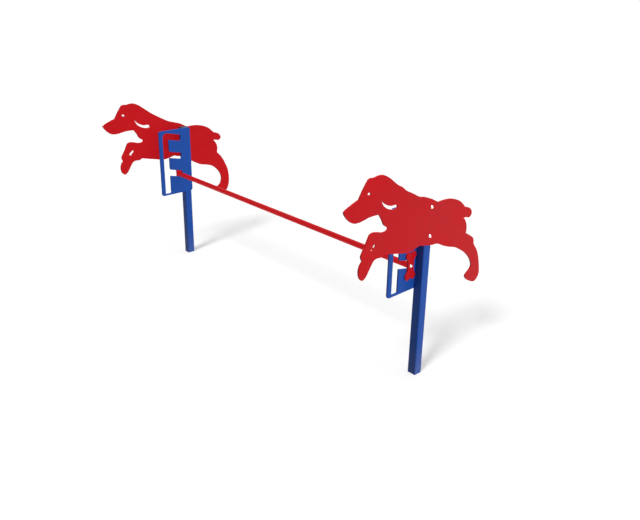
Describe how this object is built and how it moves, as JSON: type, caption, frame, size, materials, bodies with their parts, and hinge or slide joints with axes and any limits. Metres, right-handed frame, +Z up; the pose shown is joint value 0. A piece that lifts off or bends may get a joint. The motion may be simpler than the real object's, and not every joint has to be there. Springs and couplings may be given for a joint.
{
  "type": "dog agility hurdle",
  "caption": "Height-adjustable agility hurdle: square posts with notched plates and leaping-dog panels, and a round bar with bone-shaped end stops.",
  "frame": {"origin": "on the ground, halfway between the posts and in the middle of the overall depth", "axes": "+X along the bar, dogs face -Y, +Z up"},
  "size_m": [1.8548, 0.859, 0.9465],
  "materials": {
    "blue_paint": "satin powder coat on steel",
    "red_paint": "satin powder coat on plate",
    "red_bar_paint": "satin powder coat on tube",
    "stainless": "bright stainless",
    "zinc_plate": "zinc plated",
    "insert_aluminium": "turned",
    "cap_plastic": "moulded black"
  },
  "bodies": {
    "frame": {"left_post": "blue_paint", "right_post": "blue_paint", "left_post_cap": "cap_plastic", "right_post_cap": "cap_plastic", "left_height_plate": "blue_paint", "right_height_plate": "blue_paint", "left_plate_welds": "blue_paint", "right_plate_welds": "blue_paint", "left_dog_panel": "red_paint", "right_dog_panel": "red_paint", "left_panel_bolts": "stainless", "right_panel_bolts": "stainless", "left_rivet_nuts": "zinc_plate", "right_rivet_nuts": "zinc_plate"},
    "bar": {"bar_tube": "red_bar_paint", "left_bar_insert": "insert_aluminium", "right_bar_insert": "insert_aluminium", "left_bone": "red_paint", "right_bone": "red_paint", "left_bone_bolt": "stainless", "right_bone_bolt": "stainless"}
  },
  "joints": [
    {"name": "bar_draw", "type": "slide", "parent": "frame", "child": "bar", "axis": [0, -0.9763, 0.2164], "range_m": [0, 0.0858]}
  ]
}
